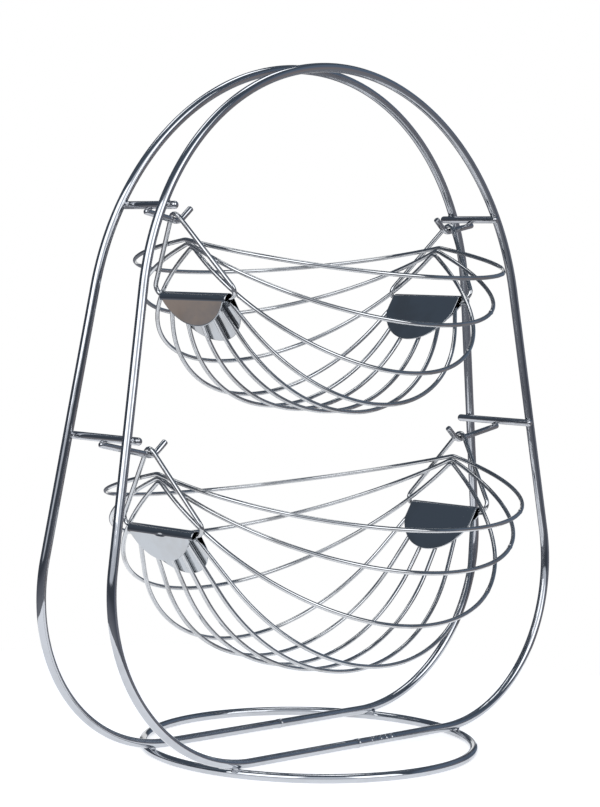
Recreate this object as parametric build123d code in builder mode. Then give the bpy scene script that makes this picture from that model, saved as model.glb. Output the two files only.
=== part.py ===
"""Two-tier hanging wire basket, chrome-plated steel wire.

Two closed hoops lean together on a round base ring. Crossbars join the hoops' legs,
a hook rod under each crossbar carries a triangular bail, and each pair of bails carries
one bowl of three folded rings and six ribs that end in two folded sheet clips.

Millimetres. +Z is up, X runs from the left hooks to the right hooks, -Y is the front.
The origin is on the table, under the middle of the base ring.
"""

import os
from math import acos, atan, atan2, cos, degrees, hypot, radians, sin, sqrt, tan

from build123d import *

os.makedirs("parts", exist_ok=True)

# Wire and rod diameters
hoop_rod = 6.0
ring_rod = 6.0
crossbar_rod = 5.0
hook_rod = 4.0
bail_wire = 3.0
bowl_wire = 2.8

# Depth that one wire sinks into the next at a resistance weld
weld_bite = 0.1

# Hoops: width along the centre line, corner and lean in the plane of a hoop
hoop_width = 398.8
hoop_corner_radius = 110.0
hoop_leg_taper = 9.5
hoop_lean = 3.34
hoop_foot_spread = 40.0

# Base ring
base_ring_radius = 109.5

# Crossbars: the lower pair's height, the upper pair above it, the hoops' top above that,
# and how far the bars' ends pass the hoops
lower_crossbar_height = 212.0
tier_spacing = 141.5
hand_room = 96.5
crossbar_overhang = 3.0
crossbar_edge = 1.2

# Hook rods under the crossbars: run is how far inside its crossbar a hook's seat lies
lower_hook_run = 37.2
upper_hook_run = 22.15
hook_slope = 11.5
hook_tip_slope = 42.0
hook_bend_radius = 8.0
hook_tip_length = 9.0
hook_overhang = 3.5
hook_edge = 0.8

# Bails: inset and drop place the lower bar inside and below the hinge
lower_bail_inset = 12.0
lower_bail_drop = 47.5
upper_bail_inset = 18.0
upper_bail_drop = 46.5
bail_half_width = 36.5
bail_corner_radius = 5.0
bail_clearance = 0.35

# Folded rings of each bowl: the rim's peak below the hinge, and each ring's slope
ring_fold_radius = 4.0
lower_peak_drop = 12.0
lower_ring_straight = 1.0
lower_rim_slope = 12.5
lower_middle_slope = 23.5
lower_bottom_slope = 40.0
upper_peak_drop = 11.5
upper_ring_straight = 5.0
upper_rim_slope = 9.5
upper_middle_slope = 23.0
upper_bottom_slope = 40.0

# Sheet clips, discs folded over the bail's lower bar, each flap with its own lean
clip_sheet = 1.0
clip_disc_radius = 32.0
clip_bore = 6.4
clip_length = 61.0
clip_gap = 0.1
inner_flap_depth = 33.2
inner_flap_lean = 32.0
outer_flap_depth = 17.0
outer_flap_lean = 17.0

# Ribs, welded to the inner flap: their pitch there, how far from its edge they may bend, and
# how far out and down each one passes
rib_pitch = 11.0
rib_start = 3.2
rib_early_bend = 6.5
rib_bite = 0.03
lower_inner_rib_spread = 11.5
lower_inner_rib_drop = 145.8
lower_middle_rib_spread = 39.5
lower_middle_rib_drop = 143.5
lower_outer_rib_spread = 70.8
lower_outer_rib_drop = 135.9
upper_inner_rib_spread = 13.6
upper_inner_rib_drop = 120.5
upper_middle_rib_spread = 38.4
upper_middle_rib_drop = 119.7
upper_outer_rib_spread = 64.6
upper_outer_rib_drop = 113.4

TIERS = {
    "lower": dict(
        crossbar_height=lower_crossbar_height,
        hook_run=lower_hook_run,
        bail_inset=lower_bail_inset,
        bail_drop=lower_bail_drop,
        peak_drop=lower_peak_drop,
        ring_straight=lower_ring_straight,
        slopes=(radians(lower_rim_slope), radians(lower_middle_slope), radians(lower_bottom_slope)),
        ribs=(
            (lower_inner_rib_spread, lower_inner_rib_drop),
            (lower_middle_rib_spread, lower_middle_rib_drop),
            (lower_outer_rib_spread, lower_outer_rib_drop),
        ),
    ),
    "upper": dict(
        crossbar_height=lower_crossbar_height + tier_spacing,
        hook_run=upper_hook_run,
        bail_inset=upper_bail_inset,
        bail_drop=upper_bail_drop,
        peak_drop=upper_peak_drop,
        ring_straight=upper_ring_straight,
        slopes=(radians(upper_rim_slope), radians(upper_middle_slope), radians(upper_bottom_slope)),
        ribs=(
            (upper_inner_rib_spread, upper_inner_rib_drop),
            (upper_middle_rib_spread, upper_middle_rib_drop),
            (upper_outer_rib_spread, upper_outer_rib_drop),
        ),
    ),
}
RINGS = ("rim", "middle", "bottom")
RIBS = ("inner", "middle", "outer")
SIDES = {"left": -1, "right": 1}
DEPTHS = {"front": -1, "rear": 1}

# Hoop outline, worked out in its own plane, where heights run along the lean
lean = radians(hoop_lean)
taper = radians(hoop_leg_taper)
corner_centre = hoop_width / 2 - hoop_corner_radius
ring_crossing = sqrt(base_ring_radius**2 - hoop_foot_spread**2)
crossing_rise = hoop_corner_radius - sqrt(
    hoop_corner_radius**2 - (ring_crossing - corner_centre) ** 2
)
hoop_base = (ring_rod + hoop_rod / 2 - weld_bite - crossing_rise) / cos(lean)
corner_height = hoop_base + hoop_corner_radius
hoop_overall_height = lower_crossbar_height + tier_spacing + hand_room
hoop_top = (hoop_overall_height - hoop_rod / 2) / cos(lean)
top_radius = (
    hoop_corner_radius + corner_centre * cos(taper) + (corner_height - hoop_top) * sin(taper)
) / (1 - sin(taper))
top_centre = hoop_top - top_radius


def hoop_spread(height):
    """Distance of a hoop's centre line from the middle plane at a height."""
    return hoop_foot_spread + (ring_rod - height) * tan(lean)


def crossbar_reach(height):
    """Distance from the middle to a crossbar that lies on the inner side of the legs."""
    inward = (hoop_rod + crossbar_rod) / 2 - weld_bite
    along = height / cos(lean)
    if along > top_centre + top_radius * sin(taper):
        return sqrt((top_radius - inward) ** 2 - (along - top_centre) ** 2)
    leg_foot = corner_centre + hoop_corner_radius * cos(taper)
    leg_rise = along - corner_height - hoop_corner_radius * sin(taper)
    return leg_foot - leg_rise * tan(taper) - inward / cos(taper)


def hook_reach(tier):
    """Distance from the middle to the seat of a hook."""
    return crossbar_reach(tier["crossbar_height"]) - tier["hook_run"]


def hinge_height(tier):
    """Height of the hook's lowest centre point, about which the basket swings."""
    slope = radians(hook_slope)
    under_bar = tier["crossbar_height"] - ((crossbar_rod + hook_rod) / 2 - weld_bite) / cos(slope)
    run = tier["hook_run"] - hook_bend_radius * sin(slope)
    return under_bar - run * tan(slope) - hook_bend_radius * (1 - cos(slope))


def bail_lean(tier):
    """Inward lean of a bail, from its apex on the hook to its lower bar."""
    return atan2(tier["bail_inset"], tier["bail_drop"])


def apex_radius(tier):
    """Radius of a bail's apex about the hinge, which clears the bend of the hook."""
    side = bail_lean(tier)
    seat = hook_bend_radius - (hook_rod + bail_wire) / 2 - bail_clearance
    return hook_bend_radius * cos(side) - sqrt(seat**2 - (hook_bend_radius * sin(side)) ** 2)


# Across from the middle of a bail to its corner centres
corner_across = bail_half_width - bail_corner_radius


def bail_corner_level(tier):
    """Level of a bail's corner centres from the hinge, along its lean."""
    return bail_corner_radius - tier["bail_drop"] / cos(bail_lean(tier))


def bail_leg_normal(tier):
    """Angle of the outward normal of a bail's leg."""
    level = bail_corner_level(tier)
    return atan2(level, corner_across) + acos(
        (apex_radius(tier) - bail_corner_radius) / hypot(corner_across, level)
    )


def ring_fold(tier, index):
    """Radius of a ring's fold; the three folds nest, one wire above the next."""
    return ring_fold_radius + (len(RINGS) - 1 - index) * (bowl_wire - weld_bite)


def ring_peak(tier, index):
    """Height of a ring's peak, one welded wire under the ring above it."""
    step = (bowl_wire - weld_bite) * cos(bail_lean(tier))
    return hinge_height(tier) - tier["peak_drop"] - index * step


def ring_radius(tier, index):
    """Radius that lays a folded ring against the inside of both bails."""
    slope = tier["slopes"][index]
    fold = ring_fold(tier, index)
    normal = bail_leg_normal(tier)
    level = bail_corner_level(tier)
    crown = ring_peak(tier, index) + fold / cos(slope) - fold
    start = (crown - hinge_height(tier)) / cos(bail_lean(tier))
    fall = tan(slope) / cos(bail_lean(tier))
    across = (apex_radius(tier) - start * sin(normal)) / (cos(normal) - fall * sin(normal))
    if across > corner_across + bail_corner_radius * cos(normal):
        square = 1 + fall**2
        middle = corner_across + fall * (start - level)
        rest = corner_across**2 + (start - level) ** 2 - bail_corner_radius**2
        across = (middle + sqrt(middle**2 - square * rest)) / square
    seat = (bail_wire + bowl_wire) / 2 - weld_bite
    down = fall * across - start
    reach = hook_reach(tier) - down * sin(bail_lean(tier)) - seat / cos(bail_lean(tier))
    along = (across - fold * sin(slope)) / cos(slope) - tier["ring_straight"]
    return hypot(reach, along)


def clip_centre(tier, side):
    """Centre of a clip's rolled fold, which hangs on the bail's lower bar."""
    bar_reach = hook_reach(tier) - tier["bail_inset"]
    hang = (clip_bore - bail_wire) / 2 - clip_gap
    return Vector(side * bar_reach, 0, hinge_height(tier) - tier["bail_drop"] - hang)


def flap_down(side, flap_lean):
    """Direction down a flap."""
    return Vector(-side * sin(radians(flap_lean)), 0, -cos(radians(flap_lean)))


def flap_out(side, flap_lean):
    """Direction out of a flap, away from the bowl."""
    return Vector(side * cos(radians(flap_lean)), 0, -sin(radians(flap_lean)))


def finish(piece, name):
    """Label one finished piece and write it as its own STEP file."""
    piece.label = name
    export_step(piece, f"parts/{name}.step")


def make_hoop(depth):
    """Closed rod hoop: straight foot run, round corners, tapering legs, round top."""
    plane = Plane(
        origin=(0, depth * hoop_spread(0), 0),
        x_dir=(1, 0, 0),
        z_dir=(0, -cos(lean), -depth * sin(lean)),
    )
    with BuildPart() as hoop:
        with BuildLine(plane) as half:
            foot = Line((0, hoop_base), (corner_centre, hoop_base))
            corner = CenterArc(
                (corner_centre, corner_height), hoop_corner_radius, -90, 90 + hoop_leg_taper
            )
            top = CenterArc((0, top_centre), top_radius, hoop_leg_taper, 90 - hoop_leg_taper)
            Line(corner @ 1, top @ 0)
        with BuildSketch(Plane(origin=foot @ 0, z_dir=foot % 0)):
            Circle(hoop_rod / 2)
        sweep(path=half.line)
        mirror(about=Plane.YZ)
    return hoop.part


def make_crossbar(tier, side):
    """Straight bar across the inner side of two legs, rounded at both ends."""
    height = tier["crossbar_height"]
    half_length = hoop_spread(height) + hoop_rod / 2 + crossbar_overhang
    with BuildPart() as crossbar:
        with BuildSketch(Plane.XZ):
            with Locations((side * crossbar_reach(height), height)):
                Circle(crossbar_rod / 2)
        extrude(amount=half_length, both=True)
        fillet(crossbar.edges().filter_by(GeomType.CIRCLE), crossbar_edge)
    return crossbar.part


def make_hook(tier, side):
    """Rod under a crossbar, sloping inward to the bail's seat and up to its tip."""
    slope = radians(hook_slope)
    tip_slope = radians(hook_tip_slope)
    reach = hook_reach(tier)
    seat = hinge_height(tier)
    outer = reach + hook_bend_radius * sin(slope), seat + hook_bend_radius * (1 - cos(slope))
    end_reach = crossbar_reach(tier["crossbar_height"]) + hook_overhang
    end = end_reach, outer[1] + (end_reach - outer[0]) * tan(slope)
    inner = reach - hook_bend_radius * sin(tip_slope), seat + hook_bend_radius * (1 - cos(tip_slope))
    tip = inner[0] - hook_tip_length * cos(tip_slope), inner[1] + hook_tip_length * sin(tip_slope)
    with BuildPart() as hook:
        with BuildLine(Plane.XZ) as path:
            run = Line((side * end[0], end[1]), (side * outer[0], outer[1]))
            TangentArc(run @ 1, (side * inner[0], inner[1]), tangent=run % 1)
            Line((side * inner[0], inner[1]), (side * tip[0], tip[1]))
        with BuildSketch(Plane(origin=run @ 0, z_dir=run % 0)):
            Circle(hook_rod / 2)
        sweep(path=path.line)
        chamfer(hook.faces().filter_by(GeomType.PLANE).edges(), hook_edge)
    return hook.part


def make_bail(tier, side):
    """Closed triangle of wire: round apex over the hook, round corners, straight bar."""
    turn = degrees(bail_leg_normal(tier))
    bail_side = bail_lean(tier)
    plane = Plane(
        origin=(side * hook_reach(tier), 0, hinge_height(tier)),
        x_dir=(0, 1, 0),
        z_dir=(cos(bail_side), 0, -side * sin(bail_side)),
    )
    with BuildPart() as bail:
        with BuildLine(plane) as half:
            apex = CenterArc((0, 0), apex_radius(tier), 90, turn - 90)
            corner = CenterArc(
                (corner_across, bail_corner_level(tier)), bail_corner_radius, turn, -90 - turn
            )
            Line(apex @ 1, corner @ 0)
            Line(corner @ 1, (0, -tier["bail_drop"] / cos(bail_side)))
        with BuildSketch(Plane(origin=apex @ 0, z_dir=apex % 0)):
            Circle(bail_wire / 2)
        sweep(path=half.line)
        mirror(about=Plane.XZ)
    return bail.part


def make_ring(tier, index):
    """Round ring folded along its left-to-right diameter, so that both halves slope down."""
    slope = tier["slopes"][index]
    fold = ring_fold(tier, index)
    peak = ring_peak(tier, index)
    radius = ring_radius(tier, index)
    straight = tier["ring_straight"]
    bend_plane = Plane(origin=(-radius, 0, peak - fold), x_dir=(0, -1, 0), z_dir=(-1, 0, 0))
    half_plane = Plane(
        origin=(0, -fold * sin(slope), peak - fold * (1 - cos(slope))),
        x_dir=(1, 0, 0),
        z_dir=(0, sin(slope), -cos(slope)),
    )
    with BuildPart() as ring:
        with BuildLine(bend_plane) as bend:
            crest = CenterArc((0, 0), fold, 90, -degrees(slope))
        with BuildLine(half_plane) as quarter:
            Line((-radius, 0), (-radius, straight))
            CenterArc((0, straight), radius, 180, -90)
        with BuildSketch(Plane(origin=crest @ 0, z_dir=crest % 0)):
            Circle(bowl_wire / 2)
        sweep(path=Wire(bend.edges() + quarter.edges()))
        mirror(about=Plane.XZ)
        mirror(about=Plane.YZ)
    return ring.part


def make_clip(tier, side):
    """Disc of sheet folded over the bail's bar: a rolled fold and two flaps tangent to it."""
    centre = clip_centre(tier, side)
    fold_arc = 180 + outer_flap_lean - inner_flap_lean
    flaps = (
        (flap_down(side, outer_flap_lean), flap_out(side, outer_flap_lean), outer_flap_depth),
        (flap_down(side, inner_flap_lean), -flap_out(side, inner_flap_lean), inner_flap_depth),
    )
    with BuildPart() as clip:
        with BuildSketch(Plane(origin=centre, x_dir=flaps[1][1], z_dir=flaps[1][0])):
            with Locations((clip_bore / 2, 0)):
                Rectangle(clip_sheet, clip_length, align=(Align.MIN, Align.CENTER))
        revolve(axis=Axis(centre, (0, side, 0)), revolution_arc=fold_arc)
        for down, face, depth in flaps:
            plane = Plane(origin=centre, x_dir=down.cross(face), z_dir=face)
            with BuildSketch(plane.offset(clip_bore / 2)):
                with Locations((0, depth - clip_disc_radius)):
                    Circle(clip_disc_radius)
                Rectangle(
                    clip_length,
                    2 * clip_disc_radius,
                    align=(Align.CENTER, Align.MIN),
                    mode=Mode.INTERSECT,
                )
            extrude(amount=clip_sheet)
    return clip.part


def make_rib(tier, depth, index):
    """Planar rib: one round arc between straight tails on the clips' inner flaps.

    A rib too shallow for that keeps its least tails and has a straight belly.
    """
    seat = (clip_bore - bowl_wire) / 2 + rib_bite
    start = (
        clip_centre(tier, -1)
        + flap_down(-1, inner_flap_lean) * rib_start
        - flap_out(-1, inner_flap_lean) * seat
    )
    entry = (index + 1 / 2) * rib_pitch
    spread, drop = tier["ribs"][index]
    rise = start.Z - hinge_height(tier) + drop
    tilt = atan2(spread - entry, rise)
    belly = hypot(spread - entry, rise)
    tail_lean = atan(tan(radians(inner_flap_lean)) * cos(tilt))
    whole_arc = (-start.X * cos(tail_lean) - belly * sin(tail_lean)) / (1 - sin(tail_lean))
    whole_arc_tail = (belly - whole_arc) * cos(tail_lean) - start.X * sin(tail_lean)
    flap_edge = inner_flap_depth - clip_disc_radius + sqrt(clip_disc_radius**2 - entry**2)
    tail = max(whole_arc_tail, flap_edge - rib_start - rib_early_bend)
    arc_radius = (belly - tail * cos(tail_lean)) / (1 - sin(tail_lean))
    flat = -start.X - tail * sin(tail_lean) - arc_radius * cos(tail_lean)
    plane = Plane(
        origin=(0, depth * entry, start.Z),
        x_dir=(1, 0, 0),
        z_dir=(0, cos(tilt), depth * sin(tilt)),
    )
    with BuildPart() as rib:
        with BuildLine(plane) as half:
            run = Line((start.X, 0), (start.X + tail * sin(tail_lean), tail * cos(tail_lean)))
            bend = TangentArc(run @ 1, plane.from_local_coords((-flat, belly)), tangent=run % 1)
            if tail > whole_arc_tail:
                Line(bend @ 1, plane.from_local_coords((0, belly)))
        with BuildSketch(Plane(origin=run @ 0, z_dir=run % 0)):
            Circle(bowl_wire / 2)
        sweep(path=half.line)
        mirror(about=Plane.YZ)
    return rib.part


# The stand
for depth_name, depth in DEPTHS.items():
    finish(make_hoop(depth), f"{depth_name}_hoop")
with BuildPart() as base_ring:
    with Locations((0, 0, ring_rod / 2)):
        Torus(base_ring_radius, ring_rod / 2)
finish(base_ring.part, "base_ring")

# Each tier's crossbars and hooks, and the basket that hangs on them
for tier_name, tier in TIERS.items():
    for side_name, side in SIDES.items():
        finish(make_crossbar(tier, side), f"{tier_name}_{side_name}_crossbar")
        finish(make_hook(tier, side), f"{tier_name}_{side_name}_hook")
        finish(make_bail(tier, side), f"{tier_name}_{side_name}_bail")
        finish(make_clip(tier, side), f"{tier_name}_{side_name}_clip")
    for index, ring_name in enumerate(RINGS):
        finish(make_ring(tier, index), f"{tier_name}_{ring_name}_ring")
    for depth_name, depth in DEPTHS.items():
        for index, rib_name in enumerate(RIBS):
            finish(make_rib(tier, depth, index), f"{tier_name}_{depth_name}_{rib_name}_rib")
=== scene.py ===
"""Looks of the two-tier hanging wire basket: plated wire, folded sheet clips and weld beads.

Metres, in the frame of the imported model: +Z up, X from the left hooks to the right hooks,
-Y to the front. Each wire or sheet piece is a surface worked out with numpy, stands for the
node of its own name and rides on that node's body.
"""

import bpy
import numpy as np
from mathutils import Matrix, Vector


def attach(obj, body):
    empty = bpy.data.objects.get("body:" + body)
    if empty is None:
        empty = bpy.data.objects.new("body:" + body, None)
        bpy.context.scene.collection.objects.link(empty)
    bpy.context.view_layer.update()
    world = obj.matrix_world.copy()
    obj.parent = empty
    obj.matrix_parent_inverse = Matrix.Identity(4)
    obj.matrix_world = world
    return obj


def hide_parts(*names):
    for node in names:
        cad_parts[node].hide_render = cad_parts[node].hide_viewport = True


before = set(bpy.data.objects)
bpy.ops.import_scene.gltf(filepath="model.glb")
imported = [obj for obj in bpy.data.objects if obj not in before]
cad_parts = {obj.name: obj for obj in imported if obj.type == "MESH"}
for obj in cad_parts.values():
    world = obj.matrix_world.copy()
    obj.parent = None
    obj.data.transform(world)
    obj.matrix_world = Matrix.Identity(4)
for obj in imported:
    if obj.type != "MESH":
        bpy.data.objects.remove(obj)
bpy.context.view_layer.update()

mm = 0.001

# Wire and rod diameters
hoop_rod = 6.0 * mm
ring_rod = 6.0 * mm
crossbar_rod = 5.0 * mm
hook_rod = 4.0 * mm
bail_wire = 3.0 * mm
bowl_wire = 2.8 * mm

# Depth that one wire sinks into the next at a weld
weld_bite = 0.1 * mm

# Hoops and base ring
hoop_overall_height = 450.0 * mm
hoop_width = 398.8 * mm
hoop_corner_radius = 110.0 * mm
hoop_leg_taper = np.radians(9.5)
hoop_lean = np.radians(3.34)
hoop_foot_spread = 40.0 * mm
base_ring_radius = 109.5 * mm

# Crossbars and hooks; an edge is the radius that rounds a rod's end
crossbar_overhang = 3.0 * mm
crossbar_edge = 1.9 * mm
hook_slope = np.radians(11.5)
hook_tip_slope = np.radians(42.0)
hook_bend_radius = 8.0 * mm
hook_tip_length = 9.0 * mm
hook_overhang = 3.5 * mm
hook_edges = (1.6 * mm, 0.5 * mm)

# Bails
bail_half_width = 36.5 * mm
bail_corner_radius = 5.0 * mm
bail_clearance = 0.35 * mm
corner_across = bail_half_width - bail_corner_radius

# Bowl rings, sheet clips and ribs
ring_fold_radius = 4.0 * mm
clip_sheet = 1.0 * mm
clip_disc_radius = 32.0 * mm
clip_bore = 6.4 * mm
clip_length = 61.0 * mm
clip_gap = 0.1 * mm
inner_flap_depth = 33.2 * mm
inner_flap_lean = np.radians(32.0)
outer_flap_depth = 17.0 * mm
outer_flap_lean = np.radians(17.0)
rib_pitch = 11.0 * mm
rib_start = 3.2 * mm
rib_bite = 0.03 * mm
rib_edge = 0.3 * mm

TIERS = {
    "lower": dict(
        crossbar_height=212.0 * mm,
        hook_reach=142.5 * mm,
        bar_reach=130.5 * mm,
        bail_drop=47.5 * mm,
        peak_drop=12.0 * mm,
        ring_straight=1.0 * mm,
        slopes=np.radians((12.5, 23.5, 40.0)),
        rib_spreads=np.array((11.5, 39.5, 70.8)) * mm,
        rib_drops=np.array((145.8, 143.5, 135.9)) * mm,
    ),
    "upper": dict(
        crossbar_height=353.5 * mm,
        hook_reach=125.0 * mm,
        bar_reach=107.0 * mm,
        bail_drop=46.5 * mm,
        peak_drop=11.5 * mm,
        ring_straight=5.0 * mm,
        slopes=np.radians((9.5, 23.0, 40.0)),
        rib_spreads=np.array((13.6, 38.4, 64.6)) * mm,
        rib_drops=np.array((120.5, 119.7, 113.4)) * mm,
    ),
}
RINGS = ("rim", "middle", "bottom")
RIBS = ("inner", "middle", "outer")
SIDES = {"left": -1, "right": 1}
DEPTHS = {"front": -1, "rear": 1}

# Mesh fineness. Wires: spacing of the circles along a wire, points round a circle, steps of a
# rounded end, share of its flat face inside the last circle, stations over a seam and their
# reach in spreads, and decimals that tell two stations apart
wire_spacing = 1.6 * mm
wire_sides = 24
end_steps = 5
face_share = 0.8
seam_steps = 13
seam_reach = 3
station_digits = 6
# Paths: turn of one step of an arc, points of a crossbar and of the base ring, spacing for
# finding a weld, and what counts as no offset
arc_step = np.radians(0.5)
crossbar_steps = 200
base_ring_steps = 720
weld_spacing = 0.4 * mm
least_offset = 1e-9
# Clips: rows along the bar, steps down a flap, round the fold and round a lip
clip_rows = 122
flap_steps = 24
fold_steps = 60
lip_steps = 9
# Weld beads: steps from pole to pole and round, and how much the radius waves
bead_rows = 17
bead_sides = 24
bead_wave = 0.16

# Camera, fitted to the photograph: azimuth and pitch in degrees, and its field as the picture's
# height in pixels over its focal length in pixels
picture_height = 807
focal_pixels = 2312.7
camera_azimuth = -44.37
camera_pitch = 3.29
camera_roll = np.radians(1.227)
camera_aim_across = -10.43 * mm
camera_aim_height = 228.41 * mm
camera_distance = 1522.3 * mm


def unit(vectors):
    """Vectors divided by their own lengths."""
    return vectors / np.linalg.norm(vectors, axis=-1, keepdims=True)


def compass(azimuth, elevation):
    """Unit direction from the basket by azimuth and elevation in degrees.

    Azimuth 0 is the front and 90 the right.
    """
    around, above = np.radians(azimuth), np.radians(elevation)
    return np.array(
        [np.sin(around) * np.cos(above), -np.cos(around) * np.cos(above), np.sin(above)]
    )


def arc(centre, radius, first, last):
    """Plane arc: centre plus radius times (cosine, sine) of the angles from first to last."""
    count = int(np.ceil(abs(last - first) / arc_step)) + 2
    angle = np.linspace(first, last, count)
    return np.array(centre) + radius * np.stack([np.cos(angle), np.sin(angle)], -1)


def placed(points, origin, across, up):
    """Plane points carried into space: origin plus x times across plus y times up."""
    points = np.asarray(points, float)
    return np.array(origin) + points[:, :1] * np.array(across) + points[:, 1:] * np.array(up)


def mirrored(half, axis):
    """A half path and its mirror image across the plane through the origin square to an axis."""
    flip = np.ones(3)
    flip[axis] = -1
    return np.vstack([half[::-1] * flip, half])


def lengths_along(points):
    """Length of the path up to each of its points."""
    return np.concatenate([[0.0], np.cumsum(np.linalg.norm(np.diff(points, axis=0), axis=1))])


def at_lengths(points, lengths):
    """Points of a path at given lengths along it, by straight interpolation."""
    so_far = lengths_along(points)
    return np.stack([np.interp(lengths, so_far, points[:, k]) for k in range(3)], -1)


def skin(name, surfaces, material):
    """One smooth mesh object from grids of points.

    A surface is (grid, looped, poles): rows of the grid follow each other, the points of a row
    close on themselves, looped rows close too, and otherwise a pole point closes each end.
    """
    points, quads, fans, first = [], [], [], 0
    for grid, looped, poles in surfaces:
        rows, columns = grid.shape[:2]
        index = first + np.arange(rows * columns).reshape(rows, columns)
        here = index if looped else index[:-1]
        ahead = np.roll(index, -1, 0) if looped else index[1:]
        corners = here, ahead, np.roll(ahead, -1, 1), np.roll(here, -1, 1)
        quads.append(np.stack(corners, -1).reshape(-1, 4))
        points.append(grid.reshape(-1, 3))
        first += rows * columns
        if not looped:
            start, end = np.full(columns, first), np.full(columns, first + 1)
            fans.append(np.stack([start, index[0], np.roll(index[0], -1)], -1))
            fans.append(np.stack([index[-1], end, np.roll(index[-1], -1)], -1))
            points.append(np.array(poles, float))
            first += 2
    points = np.vstack(points)
    quads = np.vstack(quads)
    fans = np.vstack(fans) if fans else np.zeros((0, 3), int)
    mesh = bpy.data.meshes.new(name)
    mesh.vertices.add(len(points))
    mesh.vertices.foreach_set("co", points.astype(np.float32).ravel())
    mesh.loops.add(quads.size + fans.size)
    indices = np.concatenate([quads.ravel(), fans.ravel()])
    mesh.loops.foreach_set("vertex_index", indices.astype(np.int32))
    mesh.polygons.add(len(quads) + len(fans))
    starts = np.concatenate([np.arange(len(quads)) * 4, quads.size + np.arange(len(fans)) * 3])
    mesh.polygons.foreach_set("loop_start", starts.astype(np.int32))
    mesh.update(calc_edges=True)
    mesh.validate()
    mesh.shade_smooth()
    mesh.materials.append(material)
    piece = bpy.data.objects.new(name, mesh)
    bpy.context.scene.collection.objects.link(piece)
    return piece


def wire_surface(points, diameter, across, looped=False, edges=(0.0, 0.0), seams=()):
    """Round wire along a path: a circle square to the path at each station.

    The circle's axes are the path's direction crossed with a steady vector, and that crossed
    with the direction. An open end is rounded by a quarter circle of its edge radius and closed
    by a flat face. A seam (length, height, spread, one_sided) swells the radius by a bell curve
    along the path; one_sided fades it from the circle's first axis to the opposite side.
    """
    moved = np.any(np.diff(points, axis=0) != 0, axis=1)
    points = points[np.concatenate([[True], moved])]
    if looped:
        points = np.vstack([points, points[:1]])
    whole = lengths_along(points)[-1]
    radius = diameter / 2
    if looped:
        over_seam = np.linspace(-seam_reach, seam_reach, seam_steps)
        stations = [np.linspace(0, whole, int(whole / wire_spacing), endpoint=False)]
        stations += [place + spread * over_seam for place, _, spread, _ in seams]
        stations = np.unique(np.concatenate(stations).round(station_digits))
        radii = np.full(len(stations), radius)
        centres = at_lengths(points, stations)
        along = unit(np.roll(centres, -1, 0) - np.roll(centres, 1, 0))
    else:
        turn = np.linspace(0, np.pi / 2, end_steps + 1)
        starts, ends = (edge * (1 - np.sin(turn)) for edge in edges)
        start_radii, end_radii = (radius - edge * (1 - np.cos(turn)) for edge in edges)
        start_face, end_face = (face_share * (radius - edge) for edge in edges)
        middle = np.linspace(edges[0], whole - edges[1], int(whole / wire_spacing) + 1)[1:-1]
        stations = np.concatenate([[0.0], starts[::-1], middle, whole - ends, [whole]])
        body = np.full(len(middle), radius)
        radii = np.concatenate([[start_face], start_radii[::-1], body, end_radii, [end_face]])
        centres = at_lengths(points, stations)
        reach = wire_spacing / 4
        held = np.clip(stations, reach, whole - reach)
        along = unit(at_lengths(points, held + reach) - at_lengths(points, held - reach))
    side = unit(np.cross(along, np.asarray(across, float)))
    lift = np.cross(side, along)
    angle = np.linspace(0, 2 * np.pi, wire_sides, endpoint=False)
    circle = np.cos(angle)[:, None] * side[:, None, :] + np.sin(angle)[:, None] * lift[:, None, :]
    spans = np.repeat(radii[:, None], wire_sides, 1)
    for place, height, spread, one_sided in seams:
        bell = np.exp(-(((stations - place) / spread) ** 2))
        spans = spans + height * bell[:, None] * (1 - one_sided * (1 - np.cos(angle)) / 2)
    grid = centres[:, None, :] + spans[..., None] * circle
    return grid, looped, None if looped else (centres[0], centres[-1])


def bead_surface(centre, axes, sizes, phase):
    """Weld bead: a sphere stretched along three axes.

    Its radius is waved by the product of a sine of twice the longitude and a sine of three
    times the latitude, both shifted by the phase.
    """
    latitude = np.linspace(0, np.pi, bead_rows)[1:-1]
    longitude = np.linspace(0, 2 * np.pi, bead_sides, endpoint=False)
    tall, around = np.meshgrid(latitude, longitude, indexing="ij")
    wave = 1 + bead_wave * np.sin(2 * around + phase) * np.sin(3 * tall + phase)
    ring = np.sin(tall)
    shape = np.stack([np.cos(tall), ring * np.cos(around), ring * np.sin(around)], -1)
    grid = centre + (shape * wave[..., None] * sizes) @ axes
    tip = axes[0] * sizes[0]
    return grid[::-1], False, (centre - tip, centre + tip)


# Hoop outline in its own plane, where heights run along the lean. The hoop rests on the base
# ring a little way up its corner arcs, and its top arc is tangent to both tapering legs.
corner_centre = hoop_width / 2 - hoop_corner_radius
ring_crossing = np.sqrt(base_ring_radius**2 - hoop_foot_spread**2)
crossing_rise = hoop_corner_radius - np.sqrt(
    hoop_corner_radius**2 - (ring_crossing - corner_centre) ** 2
)
hoop_base = (ring_rod + hoop_rod / 2 - weld_bite - crossing_rise) / np.cos(hoop_lean)
corner_height = hoop_base + hoop_corner_radius
hoop_top = (hoop_overall_height - hoop_rod / 2) / np.cos(hoop_lean)
top_radius = (
    hoop_corner_radius
    + corner_centre * np.cos(hoop_leg_taper)
    + (corner_height - hoop_top) * np.sin(hoop_leg_taper)
) / (1 - np.sin(hoop_leg_taper))
top_centre = hoop_top - top_radius


def hoop_spread(height):
    """Distance of a hoop from the middle plane, which shrinks with the height by the lean."""
    return hoop_foot_spread + (ring_rod - height) * np.tan(hoop_lean)


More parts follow.
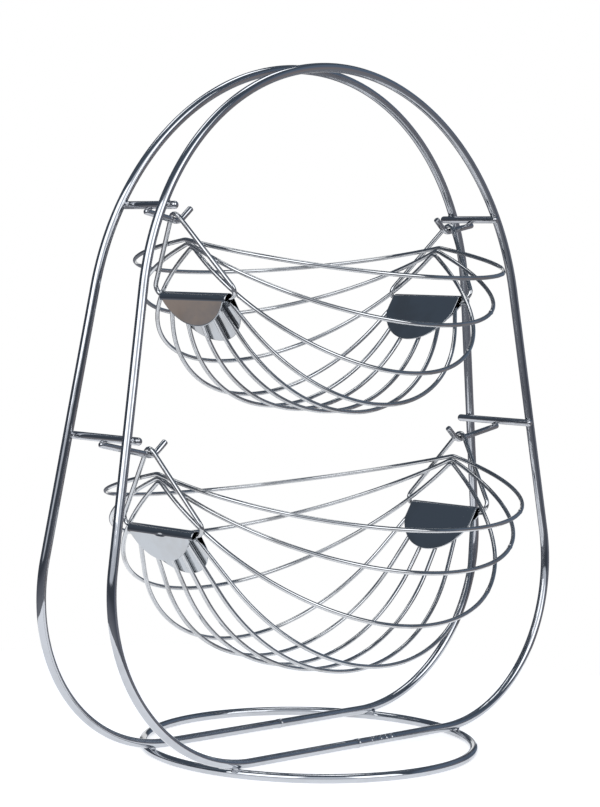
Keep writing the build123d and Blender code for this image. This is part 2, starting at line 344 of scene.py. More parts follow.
def crossbar_reach(height):
    """Distance from the middle to a crossbar that lies on the inner side of the legs.

    The leg there is the top arc's circle, or below it the straight tapering line.
    """
    inward = (hoop_rod + crossbar_rod) / 2 - weld_bite
    along = height / np.cos(hoop_lean)
    if along > top_centre + top_radius * np.sin(hoop_leg_taper):
        return np.sqrt((top_radius - inward) ** 2 - (along - top_centre) ** 2)
    leg_foot = corner_centre + hoop_corner_radius * np.cos(hoop_leg_taper)
    leg_rise = along - corner_height - hoop_corner_radius * np.sin(hoop_leg_taper)
    return leg_foot - leg_rise * np.tan(hoop_leg_taper) - inward / np.cos(hoop_leg_taper)


def hinge_height(tier):
    """Height of the hook's lowest centre point, about which the basket swings.

    It lies under the crossbar by the welded rods, the fall of the sloping run and the bend's.
    """
    height = tier["crossbar_height"]
    under_bar = height - ((crossbar_rod + hook_rod) / 2 - weld_bite) / np.cos(hook_slope)
    run = crossbar_reach(height) - tier["hook_reach"] - hook_bend_radius * np.sin(hook_slope)
    return under_bar - run * np.tan(hook_slope) - hook_bend_radius * (1 - np.cos(hook_slope))


def bail_lean(tier):
    """Inward lean of a bail, from its apex on the hook to its lower bar."""
    return np.arctan2(tier["hook_reach"] - tier["bar_reach"], tier["bail_drop"])


def apex_radius(tier):
    """Radius of a bail's apex about the hinge.

    There the leaning wire clears the inside of the hook's bend, a circle over the hinge.
    """
    side = bail_lean(tier)
    seat = hook_bend_radius - (hook_rod + bail_wire) / 2 - bail_clearance
    reach, rise = hook_bend_radius * np.cos(side), hook_bend_radius * np.sin(side)
    return reach - np.sqrt(seat**2 - rise**2)


def bail_corner_level(tier):
    """Level of a bail's corner centres from the hinge, along its lean: a radius above its bar."""
    return bail_corner_radius - tier["bail_drop"] / np.cos(bail_lean(tier))


def bail_leg_normal(tier):
    """Angle of the outward normal of a bail's leg, tangent to the apex arc and a corner arc."""
    level = bail_corner_level(tier)
    return np.arctan2(level, corner_across) + np.arccos(
        (apex_radius(tier) - bail_corner_radius) / np.hypot(corner_across, level)
    )


def ring_fold(index):
    """Radius of a ring's fold; the three folds nest, one wire above the next."""
    return ring_fold_radius + (len(RINGS) - 1 - index) * (bowl_wire - weld_bite)


def ring_peak(tier, index):
    """Height of a ring's peak, one welded wire under the ring above it."""
    step = (bowl_wire - weld_bite) * np.cos(bail_lean(tier))
    return hinge_height(tier) - tier["peak_drop"] - index * step


def ring_radius(tier, index):
    """Radius that lays a folded ring against the inside of both bails.

    In the bail's plane the ring falls from its crown in a straight line. It crosses the bail
    where that line meets the leg or, lower down, the round corner. The radius runs from the
    ring's centre to that crossing, set in by the welded wires.
    """
    slope = tier["slopes"][index]
    fold = ring_fold(index)
    normal = bail_leg_normal(tier)
    level = bail_corner_level(tier)
    crown = ring_peak(tier, index) + fold / np.cos(slope) - fold
    start = (crown - hinge_height(tier)) / np.cos(bail_lean(tier))
    fall = np.tan(slope) / np.cos(bail_lean(tier))
    across = (apex_radius(tier) - start * np.sin(normal)) / (np.cos(normal) - fall * np.sin(normal))
    if across > corner_across + bail_corner_radius * np.cos(normal):
        square = 1 + fall**2
        middle = corner_across + fall * (start - level)
        rest = corner_across**2 + (start - level) ** 2 - bail_corner_radius**2
        across = (middle + np.sqrt(middle**2 - square * rest)) / square
    seat = (bail_wire + bowl_wire) / 2 - weld_bite
    down = fall * across - start
    reach = tier["hook_reach"] - down * np.sin(bail_lean(tier)) - seat / np.cos(bail_lean(tier))
    along = (across - fold * np.sin(slope)) / np.cos(slope) - tier["ring_straight"]
    return np.hypot(reach, along)


def clip_centre(tier, side):
    """Centre of a clip's rolled fold, which hangs on the bail's lower bar."""
    hang = (clip_bore - bail_wire) / 2 - clip_gap
    return np.array([side * tier["bar_reach"], 0, hinge_height(tier) - tier["bail_drop"] - hang])


def flap_down(side, lean):
    """Direction down a flap."""
    return np.array([-side * np.sin(lean), 0, -np.cos(lean)])


def flap_out(side, lean):
    """Direction out of a flap, away from the bowl."""
    return np.array([side * np.cos(lean), 0, -np.sin(lean)])


def hoop_path(depth):
    """Foot run, corner arc, straight leg and top arc of a hoop, and their mirror image."""
    half = np.vstack(
        [
            [(0, hoop_base)],
            arc((corner_centre, corner_height), hoop_corner_radius, -np.pi / 2, hoop_leg_taper),
            arc((0, top_centre), top_radius, hoop_leg_taper, np.pi / 2),
        ]
    )
    up = np.array([0, -depth * np.sin(hoop_lean), np.cos(hoop_lean)])
    return mirrored(placed(half, (0, depth * hoop_spread(0), 0), (1, 0, 0), up), 0)[1:-1]


def base_ring_path():
    """Level circle whose wire rests on the floor."""
    angle = np.linspace(0, 2 * np.pi, base_ring_steps, endpoint=False)
    circle = [base_ring_radius * np.cos(angle), base_ring_radius * np.sin(angle)]
    return np.stack([*circle, np.full(base_ring_steps, ring_rod / 2)], -1)


def crossbar_path(tier, side):
    """Straight run from front to rear, a little past both hoops."""
    height = tier["crossbar_height"]
    reach = side * crossbar_reach(height)
    half = hoop_spread(height) + hoop_rod / 2 + crossbar_overhang
    return np.linspace((reach, -half, height), (reach, half, height), crossbar_steps)


def hook_path(tier, side):
    """Sloping run under a crossbar, the bend that seats the bail, and the rising tip."""
    reach, seat = tier["hook_reach"], hinge_height(tier)
    start = reach + hook_bend_radius * np.sin(hook_slope)
    start_height = seat + hook_bend_radius * (1 - np.cos(hook_slope))
    end = crossbar_reach(tier["crossbar_height"]) + hook_overhang
    bend = arc(
        (reach, seat + hook_bend_radius),
        hook_bend_radius,
        hook_slope - np.pi / 2,
        -np.pi / 2 - hook_tip_slope,
    )
    tip = bend[-1] + hook_tip_length * np.array([-np.cos(hook_tip_slope), np.sin(hook_tip_slope)])
    outline = np.vstack([[(end, start_height + (end - start) * np.tan(hook_slope))], bend, [tip]])
    return placed(outline, (0, 0, 0), (side, 0, 0), (0, 0, 1))


def bail_path(tier, side):
    """Round apex, straight leg, round corner and half the lower bar, and their mirror image."""
    turn, lean = bail_leg_normal(tier), bail_lean(tier)
    half = np.vstack(
        [
            arc((0, 0), apex_radius(tier), np.pi / 2, turn),
            arc((corner_across, bail_corner_level(tier)), bail_corner_radius, turn, -np.pi / 2),
            [(0, -tier["bail_drop"] / np.cos(lean))],
        ]
    )
    up = np.array([side * np.sin(lean), 0, np.cos(lean)])
    origin = (side * tier["hook_reach"], 0, hinge_height(tier))
    return mirrored(placed(half, origin, (0, 1, 0), up), 1)[1:-1]


def ring_path(tier, index):
    """Round ring folded along its left-to-right diameter: fold arc and quarter circle, mirrored."""
    slope, fold = tier["slopes"][index], ring_fold(index)
    peak, radius = ring_peak(tier, index), ring_radius(tier, index)
    crest = arc((0, peak - fold), fold, np.pi / 2, np.pi / 2 - slope)
    crest = placed(crest, (-radius, 0, 0), (0, 1, 0), (0, 0, 1))
    quarter = arc((0, tier["ring_straight"]), radius, np.pi, np.pi / 2)
    down = (0, np.cos(slope), -np.sin(slope))
    origin = (0, fold * np.sin(slope), peak - fold * (1 - np.cos(slope)))
    rear_left = np.vstack([crest, placed(quarter, origin, (1, 0, 0), down)])
    left = np.vstack([rear_left[:-1], rear_left[::-1] * (-1, 1, 1)])
    return np.vstack([left[:-1], left[::-1][:-1] * (1, -1, 1)])


def rib_frame(tier, depth, index):
    """Where a rib starts on the left inner flap, and the tilted plane that it lies in.

    Gives the start point, its distance from the middle plane, the belly's depth down the
    rib's plane, the plane's tilt and its downward direction. The tilt's tangent is the belly's
    spread over its drop, both from the start.
    """
    seat = (clip_bore - bowl_wire) / 2 + rib_bite
    start = (
        clip_centre(tier, -1)
        + flap_down(-1, inner_flap_lean) * rib_start
        - flap_out(-1, inner_flap_lean) * seat
    )
    entry = (index + 1 / 2) * rib_pitch
    rise = start[2] - hinge_height(tier) + tier["rib_drops"][index]
    across = tier["rib_spreads"][index] - entry
    tilt = np.arctan2(across, rise)
    down = np.array([0, depth * np.sin(tilt), -np.cos(tilt)])
    return start, entry, np.hypot(across, rise), tilt, down


def rib_path(tier, depth, index):
    """Straight tail on the inner flap and half of one round arc tangent to it, mirrored."""
    start, entry, belly, tilt, down = rib_frame(tier, depth, index)
    lean = np.arctan(np.tan(inner_flap_lean) * np.cos(tilt))
    radius = (-start[0] * np.cos(lean) - belly * np.sin(lean)) / (1 - np.sin(lean))
    half = np.vstack([[(start[0], 0)], arc((0, belly - radius), radius, np.pi - lean, np.pi / 2)])
    return mirrored(placed(half, (0, depth * entry, start[2]), (1, 0, 0), down)[::-1], 0)


def clip_surface(tier, side, dents):
    """Sheet disc folded over the bail's bar.

    Rows run along the bar. In each row the sheet's middle line goes up the outer flap, round
    the fold and down the inner flap; the row's points are that line offset by half the sheet
    to both sides, with half circles round its two edges. A flap is as deep as the disc is at
    that row. Towards the clip's ends the half thickness follows a quarter circle to zero. A
    dent (along the bar, angle round the fold, depth, half length, half angle) pushes the line
    inwards by a bell curve.
    """
    edge = clip_sheet / 2
    middle = clip_bore / 2 + edge
    half = clip_length / 2
    turn = np.linspace(0, np.pi / 2, end_steps + 1)
    ends = half - edge + edge * np.sin(turn)
    thick = edge * np.cos(turn)
    inner_rows = np.linspace(-(half - edge), half - edge, clip_rows)[1:-1]
    rows = np.concatenate([-ends[::-1], inner_rows, ends])
    thick = np.concatenate([thick[::-1], np.full(len(inner_rows), edge), thick])
    chord = np.sqrt(clip_disc_radius**2 - rows**2)
    inner_depth = np.maximum(inner_flap_depth - clip_disc_radius + chord - edge, 0)
    outer_depth = np.maximum(outer_flap_depth - clip_disc_radius + chord - edge, 0)
    share = np.linspace(0, 1, flap_steps)
    fold_turn = np.linspace(-outer_flap_lean, np.pi - inner_flap_lean, fold_steps)
    fold_normal = np.stack([side * np.cos(fold_turn), 0 * fold_turn, np.sin(fold_turn)], -1)
    outer_normal, inner_normal = fold_normal[0], fold_normal[-1]
    outer_fall = flap_down(side, outer_flap_lean)
    inner_fall = flap_down(side, inner_flap_lean)
    down_outer = (1 - share)[None, :, None] * outer_depth[:, None, None] * outer_fall
    down_inner = share[None, :, None] * inner_depth[:, None, None] * inner_fall
    fold_turn = fold_turn[1:-1]
    fold = np.broadcast_to(fold_normal[1:-1], (len(rows), len(fold_turn), 3))
    pushed = np.zeros((len(rows), len(fold_turn)))
    for place, at_turn, depth, half_length, half_turn in dents:
        off_bar, off_turn = (rows[:, None] - place) / half_length, (fold_turn - at_turn) / half_turn
        pushed = pushed + depth * np.exp(-(off_bar**2 + off_turn**2))
    line = np.concatenate(
        [
            middle * outer_normal + down_outer,
            (middle - pushed)[..., None] * fold,
            middle * inner_normal + down_inner,
        ],
        1,
    )
    normal = np.concatenate(
        [
            np.broadcast_to(outer_normal, down_outer.shape),
            fold,
            np.broadcast_to(inner_normal, down_inner.shape),
        ],
        1,
    )
    cap = np.linspace(0, np.pi, lip_steps)[1:-1]
    reach = thick[:, None, None]

    def lip(base, face, fall):
        """Half circle round a flap's lower edge, from its face side over to its back."""
        bow = np.cos(cap)[:, None] * face + np.sin(cap)[:, None] * fall
        return base[:, None, :] + reach * bow

    outside = line + reach * normal
    inside = (line - reach * normal)[:, ::-1]
    row = np.concatenate(
        [
            outside,
            lip(line[:, -1], inner_normal, inner_fall),
            inside,
            lip(line[:, 0], -outer_normal, outer_fall),
        ],
        1,
    )
    along = rows[:, None, None] * np.array([0, 1, 0])
    grid = clip_centre(tier, side) + row + along
    if side < 0:
        grid = grid[:, ::-1]
    return grid, False, (grid[0].mean(0), grid[-1].mean(0))


def crossing(first, second):
    """Where two paths pass nearest: the two points and the first path's direction there."""
    apart = np.linalg.norm(first[:, None, :] - second[None, :, :], axis=-1)
    i, j = np.unravel_index(np.argmin(apart), apart.shape)
    ahead = min(i, len(first) - 2)
    return first[i], second[j], unit(first[ahead + 1] - first[ahead])


def fine(points):
    """The path as points at an even close spacing."""
    whole = lengths_along(points)[-1]
    return at_lengths(points, np.linspace(0, whole, int(whole / weld_spacing)))


def quadrant(points):
    """Points of a path on the right and rear side."""
    return points[(points[:, 0] >= 0) & (points[:, 1] >= -least_offset)]


def weld_at(first, first_diameter, second, size, phase):
    """Bead on the first wire where the second touches it, long along the first wire."""
    here, there, along = crossing(fine(first), fine(second))
    between = unit(there - here)
    centre = here + between * (first_diameter / 2)
    along = unit(along - between * (along @ between))
    axes = np.stack([along, between, np.cross(along, between)])
    return centre, axes, size, phase


def mirrored_beads(bead, flips):
    """The bead surface at each of its mirror places, turned so that its faces point outwards."""
    centre, axes, size, phase = bead
    surfaces = []
    for number, flip in enumerate(flips):
        flip = np.array(flip)
        turned = axes * flip
        if np.linalg.det(turned) < 0:
            turned = turned * [[1], [1], [-1]]
        surfaces.append(bead_surface(centre * flip, turned, size, phase + number))
    return surfaces


def add_node(nodes, kind, inputs=(), **settings):
    """A shader node of a kind, with its settings and input values set."""
    node = nodes.new(kind)
    for key, value in settings.items():
        setattr(node, key, value)
    for key, value in dict(inputs).items():
        node.inputs[key].default_value = value
    return node


# Plating: rise of its ripple at full strength, noise values between which haze sets in, pits to
# a metre, and the shares of a pit's cell where it is full and where it ends
ripple_rise = 0.4 * mm
haze_starts, haze_full = 0.45, 0.75
pit_scale = 900.0
pit_full, pit_ends = 0.06, 0.16


def plating_group():
    """Plated surface: a slow ripple, patches of haze and small dull pits.

    Colour and roughness go from bright and clean to dull and hazy by the larger of a noise's
    step and the nearness to a cell's point. Another noise bumps the surface.
    """
    group = bpy.data.node_groups.new("plated_surface", "ShaderNodeTree")
    sockets = group.interface.new_socket
    for name, kind, value in (
        ("Bright", "NodeSocketColor", (0.8, 0.8, 0.8, 1)),
        ("Dull", "NodeSocketColor", (0.5, 0.5, 0.5, 1)),
        ("Clean Roughness", "NodeSocketFloat", 0.05),
        ("Hazy Roughness", "NodeSocketFloat", 0.2),
        ("Ripple Height", "NodeSocketFloat", 0.5),
        ("Ripple Scale", "NodeSocketFloat", 100.0),
        ("Haze Scale", "NodeSocketFloat", 60.0),
    ):
        sockets(name=name, in_out="INPUT", socket_type=kind).default_value = value
    for name, kind in (
        ("Color", "NodeSocketColor"),
        ("Roughness", "NodeSocketFloat"),
        ("Normal", "NodeSocketVector"),
    ):
        sockets(name=name, in_out="OUTPUT", socket_type=kind)
    nodes, links = group.nodes, group.links
    given = nodes.new("NodeGroupInput")
    result = nodes.new("NodeGroupOutput")
    place = nodes.new("ShaderNodeTexCoord")
    haze = add_node(nodes, "ShaderNodeTexNoise", {"Detail": 3.0, "Roughness": 0.6})
    links.new(place.outputs["Object"], haze.inputs["Vector"])
    links.new(given.outputs["Haze Scale"], haze.inputs["Scale"])
    limits = {"From Min": haze_starts, "From Max": haze_full}
    patch = add_node(nodes, "ShaderNodeMapRange", limits, interpolation_type="SMOOTHSTEP")
    links.new(haze.outputs["Fac"], patch.inputs["Value"])
    pits = add_node(nodes, "ShaderNodeTexVoronoi", {"Scale": pit_scale})
    links.new(place.outputs["Object"], pits.inputs["Vector"])
    limits = {"From Min": pit_full, "From Max": pit_ends, "To Min": 1.0, "To Max": 0.0}
    pit = add_node(nodes, "ShaderNodeMapRange", limits)
    links.new(pits.outputs["Distance"], pit.inputs["Value"])
    dulled = add_node(nodes, "ShaderNodeMath", operation="MAXIMUM")
    links.new(patch.outputs["Result"], dulled.inputs[0])
    links.new(pit.outputs["Result"], dulled.inputs[1])
    colour = add_node(nodes, "ShaderNodeMix", data_type="RGBA")
    links.new(dulled.outputs[0], colour.inputs["Factor"])
    links.new(given.outputs["Bright"], colour.inputs["A"])
    links.new(given.outputs["Dull"], colour.inputs["B"])
    links.new(colour.outputs["Result"], result.inputs["Color"])
    rough = add_node(nodes, "ShaderNodeMix", data_type="FLOAT")
    links.new(dulled.outputs[0], rough.inputs["Factor"])
    links.new(given.outputs["Clean Roughness"], rough.inputs["A"])
    links.new(given.outputs["Hazy Roughness"], rough.inputs["B"])
    links.new(rough.outputs["Result"], result.inputs["Roughness"])
    ripple = add_node(nodes, "ShaderNodeTexNoise", {"Detail": 2.0, "Roughness": 0.45})
    links.new(place.outputs["Object"], ripple.inputs["Vector"])
    links.new(given.outputs["Ripple Scale"], ripple.inputs["Scale"])
    bump = add_node(nodes, "ShaderNodeBump", {"Distance": ripple_rise})
    links.new(given.outputs["Ripple Height"], bump.inputs["Strength"])
    links.new(ripple.outputs["Fac"], bump.inputs["Height"])
    links.new(bump.outputs["Normal"], result.inputs["Normal"])
    return group


plated_surface = plating_group()


def plated(name, bright, dull, clean, hazy, ripple_height, ripple_scale, haze_scale):
    """Chrome-plated steel with its own tint, haze and ripple."""
    material = bpy.data.materials.new(name)
    material.use_nodes = True
    nodes, links = material.node_tree.nodes, material.node_tree.links
    shader = nodes["Principled BSDF"]
    shader.inputs["Metallic"].default_value = 1.0
    surface = nodes.new("ShaderNodeGroup")
    surface.node_tree = plated_surface
    for key, value in (
        ("Bright", (*bright, 1)),
        ("Dull", (*dull, 1)),
        ("Clean Roughness", clean),
        ("Hazy Roughness", hazy),
        ("Ripple Height", ripple_height),
        ("Ripple Scale", ripple_scale),
        ("Haze Scale", haze_scale),
    ):
        surface.inputs[key].default_value = value
    links.new(surface.outputs["Color"], shader.inputs["Base Color"])
    links.new(surface.outputs["Roughness"], shader.inputs["Roughness"])
    links.new(surface.outputs["Normal"], shader.inputs["Normal"])
    return material


# Bright and dull tint, roughness where clean and where hazy, strength and scale of the ripple,
# and scale of the haze
PLATINGS = {
    "frame_rod": ((0.50, 0.515, 0.54), (0.40, 0.41, 0.43), 0.04, 0.13, 0.2, 60, 25),
    "bracket_rod": ((0.49, 0.50, 0.52), (0.37, 0.37, 0.38), 0.06, 0.2, 0.3, 90, 40),
    "basket_wire": ((0.55, 0.56, 0.57), (0.42, 0.42, 0.42), 0.04, 0.15, 0.2, 100, 40),
    "clip_sheet": ((0.47, 0.49, 0.51), (0.41, 0.41, 0.41), 0.04, 0.10, 0.3, 60, 30),
    "over_weld": ((0.62, 0.63, 0.65), (0.42, 0.42, 0.43), 0.06, 0.2, 1.0, 350, 300),
}
FINISHES = {name: plated(f"chrome_{name}", *values) for name, values in PLATINGS.items()}


def fit(name, body, surfaces, slot):
    """Makes a piece, rides it on its body and lets it stand for the node of its name."""
    piece = skin(name, surfaces, FINISHES[slot])
    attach(piece, body)
    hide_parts(name)
    piece.name = name + "_plated"


def fit_welds(name, body, beads, ways):
    """Makes one piece of weld beads at all their mirror places and rides it on its body."""
    surfaces = [surface for bead in beads for surface in mirrored_beads(bead, ways)]
    piece = skin(name, surfaces, FINISHES["over_weld"])
    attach(piece, body)


# Marks left by the making. A butt weld is a shallow swell with a fine groove in it, cut deeper
# on one side. Places run along the foot from its middle, and along a ring as a share of it.
swell_height, swell_spread = 0.35 * mm, 1.5 * mm
groove_depth, groove_spread, groove_one_sided = 0.55 * mm, 0.5 * mm, 0.4
foot_welds = {"front": 5.0 * mm, "rear": 11.0 * mm}
ring_weld_share = 0.66
ring_swell_height = 0.25 * mm

# The clamp left a row of nicks on top of the front foot. Their places drift and their depths
# change by sines of their number.
nick_first, nick_last, nick_count = 16.5 * mm, 38.5 * mm, 9
nick_depth, nick_spread, nick_drift, nick_unevenness = 0.45 * mm, 0.6 * mm, 0.7 * mm, 0.35
drift_wave, depth_wave = (np.sin(turn * np.arange(nick_count)) for turn in (5, 3))
nick_places = np.linspace(nick_first, nick_last, nick_count) + nick_drift * drift_wave
nick_depths = nick_depth * (1 - nick_unevenness * (1 - depth_wave))

# Dents of the clips: place along the bar, angle round the fold, depth, half length, half angle
CLIP_DENTS = {
    "lower": ((-1.0 * mm, np.radians(-8), 0.5 * mm, 2.6 * mm, np.radians(14)),),
    "upper": ((-22.0 * mm, np.radians(28), 0.35 * mm, 3.0 * mm, np.radians(16)),),
}


def butt_weld(place, swell=swell_height):
    """Seams of a butt weld at a length along a wire."""
    groove = (place, -groove_depth, groove_spread, groove_one_sided)
    return (place, swell, swell_spread, 0.0), groove


# Weld beads: half sizes along the first wire, towards the second and across, and the ways in
# which they are mirrored
foot_bead = np.array((2.6, 1.1, 2.4)) * mm
crossbar_bead = np.array((2.4, 1.0, 2.2)) * mm
hook_bead = np.array((2.2, 0.9, 1.9)) * mm
ring_bead = np.array((1.6, 0.7, 1.3)) * mm
FOUR_WAYS = ((1, 1, 1), (-1, 1, 1), (-1, -1, 1), (1, -1, 1))
TWO_WAYS = ((1, 1, 1), (-1, 1, 1))

# The stand
hoops = {depth_name: hoop_path(depth) for depth_name, depth in DEPTHS.items()}
for depth_name, depth in DEPTHS.items():
    foot_middle = lengths_along(hoops[depth_name])[-1] / 2
    seams = butt_weld(foot_middle + foot_welds[depth_name])
    if depth_name == "front":
        for nick, deep in zip(nick_places, nick_depths):
            seams += ((foot_middle + nick, -deep, nick_spread, 1.0),)
    square = (0, np.cos(hoop_lean), depth * np.sin(hoop_lean))
    surface = wire_surface(hoops[depth_name], hoop_rod, square, True, seams=seams)
    fit(f"{depth_name}_hoop", "frame", [surface], "frame_rod")
rear_leg = quadrant(hoops["rear"])
base_ring = base_ring_path()
fit("base_ring", "frame", [wire_surface(base_ring, ring_rod, (0, 0, 1), True)], "frame_rod")
bead = weld_at(rear_leg, hoop_rod, quadrant(base_ring), foot_bead, phase=0)
fit_welds("hoop_foot_welds", "frame", [bead], FOUR_WAYS)

# Each tier: crossbars and hooks on the stand, and the basket that hangs on them
for tier_name, tier in TIERS.items():
    basket = f"{tier_name}_basket"
    for side_name, side in SIDES.items():
        place = f"{tier_name}_{side_name}"
        both_edges = (crossbar_edge, crossbar_edge)
        bar = wire_surface(crossbar_path(tier, side), crossbar_rod, (1, 0, 0), edges=both_edges)
        fit(f"{place}_crossbar", "frame", [bar], "bracket_rod")
        hook = wire_surface(hook_path(tier, side), hook_rod, (0, 1, 0), edges=hook_edges)
        fit(f"{place}_hook", "frame", [hook], "bracket_rod")
        square = np.array([np.cos(bail_lean(tier)), 0, -side * np.sin(bail_lean(tier))])
        bail = wire_surface(bail_path(tier, side), bail_wire, square, True)
        fit(f"{place}_bail", basket, [bail], "basket_wire")
        clip = clip_surface(tier, side, CLIP_DENTS[tier_name])
        fit(f"{place}_clip", basket, [clip], "clip_sheet")
    rings = {name: ring_path(tier, index) for index, name in enumerate(RINGS)}
    for name, path in rings.items():
        seams = butt_weld(lengths_along(path)[-1] * ring_weld_share, ring_swell_height)
        surface = wire_surface(path, bowl_wire, (0, 0, 1), True, seams=seams)
        fit(f"{tier_name}_{name}_ring", basket, [surface], "basket_wire")
    for depth_name, depth in DEPTHS.items():
        for index, name in enumerate(RIBS):
            path = rib_path(tier, depth, index)
            square = np.cross((1, 0, 0), rib_frame(tier, depth, index)[-1])
            rib = wire_surface(path, bowl_wire, square, edges=(rib_edge, rib_edge))
            fit(f"{tier_name}_{depth_name}_{name}_rib", basket, [rib], "basket_wire")

    crossbar, hook, bail = crossbar_path(tier, 1), hook_path(tier, 1), bail_path(tier, 1)
    bead = weld_at(quadrant(crossbar), crossbar_rod, rear_leg, crossbar_bead, phase=1)
    fit_welds(f"{tier_name}_crossbar_welds", "frame", [bead], FOUR_WAYS)
    bead = weld_at(hook, hook_rod, crossbar, hook_bead, phase=2)
    fit_welds(f"{tier_name}_hook_welds", "frame", [bead], TWO_WAYS)
    beads = [
        weld_at(quadrant(path), bowl_wire, quadrant(bail), ring_bead, index)
        for index, path in enumerate(rings.values())
    ]
    fit_welds(f"{tier_name}_ring_welds", basket, beads, FOUR_WAYS)

# Camera: its right and up are a level and an upright direction rolled about the line of sight
back = compass(camera_azimuth, camera_pitch)
level = unit(np.cross(-back, (0, 0, 1)))
upright = np.cross(level, -back)
right = np.cos(camera_roll) * level + np.sin(camera_roll) * upright
up = np.cos(camera_roll) * upright - np.sin(camera_roll) * level
lens = bpy.data.cameras.new("camera")
lens.sensor_fit = "AUTO"
lens.lens = lens.sensor_width * focal_pixels / picture_height
camera = bpy.data.objects.new("camera", lens)
bpy.context.scene.collection.objects.link(camera)
spot = right * camera_aim_across + np.array([0, 0, camera_aim_height]) + back * camera_distance
turned = Matrix((right, up, back)).transposed()
camera.matrix_world = Matrix.Translation(Vector(spot)) @ turned.to_4x4()
bpy.context.scene.camera = camera

# Floor: a small table of pale paper that keeps a soft shadow; its own glow brings it up to white
floor_radius = 0.40
floor_middle = (-0.03, 0.04)
floor_sides = 96
paper_shade = (0.88, 0.88, 0.9, 1)
paper_roughness = 0.9
paper_glow = 0.65

# Studio round the table: its shade by the sine of the elevation, and soft-edged panels and a
# white backdrop given by azimuth and half width, lower and upper edge, softness (degrees) and
# shade. The panels' shade is added.
ROOM_SHADES = (
    (-1.0, (0.30, 0.30, 0.33)),
    (-0.35, (0.24, 0.25, 0.28)),
    (-0.15, (0.15, 0.16, 0.19)),
    (-0.03, (0.07, 0.08, 0.10)),
    (1.0, (0.10, 0.13, 0.17)),
)
ROOM_PANELS = {
    "bright_front": (-38, 61, 6, 47, 3, (0.72, 0.74, 0.78)),
    "blue_right": (72, 40, -2, 55, 10, (0.07, 0.10, 0.145)),
    "brown_left": (-145, 22, -40, -22, 3, (0.22, 0.12, 0.04)),
    "brown_right": (62, 20, -30, 12, 8, (0.10, 0.055, 0.02)),
}
BACKDROP = (135.6, 12, -20, 25, 3, (1.0, 1.0, 1.0))

# Softboxes: azimuth and elevation (degrees), distance, width, height, and how bright the face
# looks
SOFTBOXES = {
    "left_softbox": (-76, 28, 1.36, 1.2, 0.98, 1.7),
    "right_softbox": (4, 24, 2.2, 1.3, 1.45, 1.7),
    "rear_softbox": (-165, 66, 2.2, 0.8, 0.8, 2.0),
    "top_softbox": (110, 74, 2.0, 0.7, 0.7, 2.4),
}


def paper_table():
    """Round floor: one flat face with its corners on a circle."""
    turn = np.linspace(0, 2 * np.pi, floor_sides, endpoint=False)
    rim = np.stack([floor_radius * np.cos(turn), floor_radius * np.sin(turn), 0 * turn], -1)
    rim[:, :2] += floor_middle
    mesh = bpy.data.meshes.new("floor")
    mesh.from_pydata(rim.tolist(), [], [list(range(floor_sides))])
    floor = bpy.data.objects.new("floor", mesh)
    bpy.context.scene.collection.objects.link(floor)
    paper = bpy.data.materials.new("white_paper")
    paper.use_nodes = True
    shader = paper.node_tree.nodes["Principled BSDF"]
    shader.inputs["Base Color"].default_value = paper_shade
    shader.inputs["Roughness"].default_value = paper_roughness
    shader.inputs["Specular IOR Level"].default_value = 0.0
    shader.inputs["Emission Color"].default_value = (1.0, 1.0, 1.0, 1)
    shader.inputs["Emission Strength"].default_value = paper_glow
    mesh.materials.append(paper)


def product(tree, first, second):
    """Output of a node that multiplies two sockets."""
    both = add_node(tree.nodes, "ShaderNodeMath", operation="MULTIPLY")
    tree.links.new(first, both.inputs[0])
    tree.links.new(second, both.inputs[1])
    return both.outputs[0]


def step(tree, value, zero, one):
    """Output of a node that goes smoothly from 0 at one value of a socket to 1 at another."""
    limits = {"From Min": zero, "From Max": one}
    edge = add_node(tree.nodes, "ShaderNodeMapRange", limits, interpolation_type="SMOOTHSTEP")
    tree.links.new(value, edge.inputs["Value"])
    return edge.outputs["Result"]


def panel(tree, direction, height, azimuth, half_width, low, high, soft):
    """Mask of a soft-edged panel.

    It is a step over the direction's dot with the panel's azimuth, times a step over the
    direction's height at the lower edge, times one at the upper edge.
    """
    facing = {1: compass(azimuth, 0)}
    across = add_node(tree.nodes, "ShaderNodeVectorMath", facing, operation="DOT_PRODUCT")
    tree.links.new(direction, across.inputs[0])
    far, near = np.cos(np.radians((half_width + soft, half_width)))
    below, bottom = np.sin(np.radians((low - soft, low)))
    top, above = np.sin(np.radians((high, high + soft)))
    upright = product(tree, step(tree, height, below, bottom), step(tree, height, above, top))
    return product(tree, step(tree, across.outputs["Value"], far, near), upright)


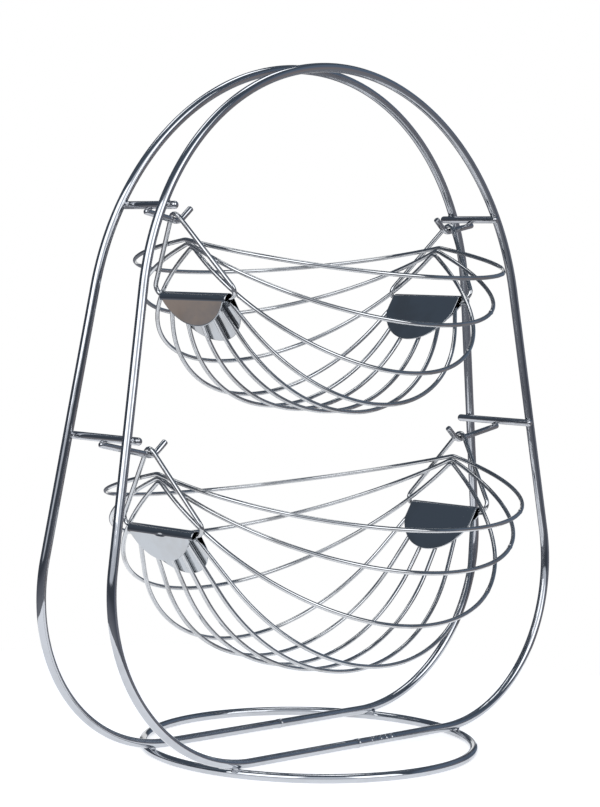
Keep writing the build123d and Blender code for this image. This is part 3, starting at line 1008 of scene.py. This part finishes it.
def studio_world():
    """World of the studio: the room's shade by height, its panels and the white backdrop.

    The shade's ramp is read at half the height plus a half. The backdrop shows all round to the
    camera, and to the plated wire where it stands.
    """
    world = bpy.data.worlds.new("studio")
    bpy.context.scene.world = world
    world.use_nodes = True
    tree = world.node_tree
    nodes, links = tree.nodes, tree.links
    direction = nodes.new("ShaderNodeTexCoord").outputs["Generated"]
    parts = nodes.new("ShaderNodeSeparateXYZ")
    links.new(direction, parts.inputs["Vector"])
    height = parts.outputs["Z"]
    share = add_node(nodes, "ShaderNodeMath", {1: 0.5, 2: 0.5}, operation="MULTIPLY_ADD")
    links.new(height, share.inputs[0])
    room = nodes.new("ShaderNodeValToRGB")
    links.new(share.outputs[0], room.inputs["Fac"])
    elements = room.color_ramp.elements
    elements.remove(elements[1])
    for number, (sine, shade) in enumerate(ROOM_SHADES):
        element = elements.new((sine + 1) / 2) if number else elements[0]
        element.color = (*shade, 1)
    seen = room.outputs["Color"]
    for *placing, shade in ROOM_PANELS.values():
        colours = {"B": (*shade, 1)}
        added = add_node(nodes, "ShaderNodeMix", colours, data_type="RGBA", blend_type="ADD")
        links.new(panel(tree, direction, height, *placing), added.inputs["Factor"])
        links.new(seen, added.inputs["A"])
        seen = added.outputs["Result"]
    *placing, white = BACKDROP
    rays = nodes.new("ShaderNodeLightPath")
    shown = add_node(nodes, "ShaderNodeMath", operation="MAXIMUM")
    links.new(rays.outputs["Is Camera Ray"], shown.inputs[0])
    mask = panel(tree, direction, height, *placing)
    links.new(product(tree, rays.outputs["Is Glossy Ray"], mask), shown.inputs[1])
    behind = add_node(nodes, "ShaderNodeMix", {"B": (*white, 1)}, data_type="RGBA")
    links.new(shown.outputs[0], behind.inputs["Factor"])
    links.new(seen, behind.inputs["A"])
    links.new(behind.outputs["Result"], nodes["Background"].inputs["Color"])


def softbox(name, azimuth, elevation, distance, width, height, shine):
    """Rectangular lamp aimed at the middle of the basket, of shine times pi times area in watts."""
    aim = Vector((0, 0, hoop_overall_height / 2))
    away = Vector(compass(azimuth, elevation))
    lamp = bpy.data.lights.new(name, "AREA")
    lamp.shape = "RECTANGLE"
    lamp.size, lamp.size_y = width, height
    lamp.energy = shine * np.pi * width * height
    holder = bpy.data.objects.new(name, lamp)
    holder.location = aim + away * distance
    holder.rotation_mode = "QUATERNION"
    holder.rotation_quaternion = away.to_track_quat("Z", "Y")
    bpy.context.scene.collection.objects.link(holder)


paper_table()
studio_world()
for name, setting in SOFTBOXES.items():
    softbox(name, *setting)

bpy.context.scene.view_settings.view_transform = "Standard"
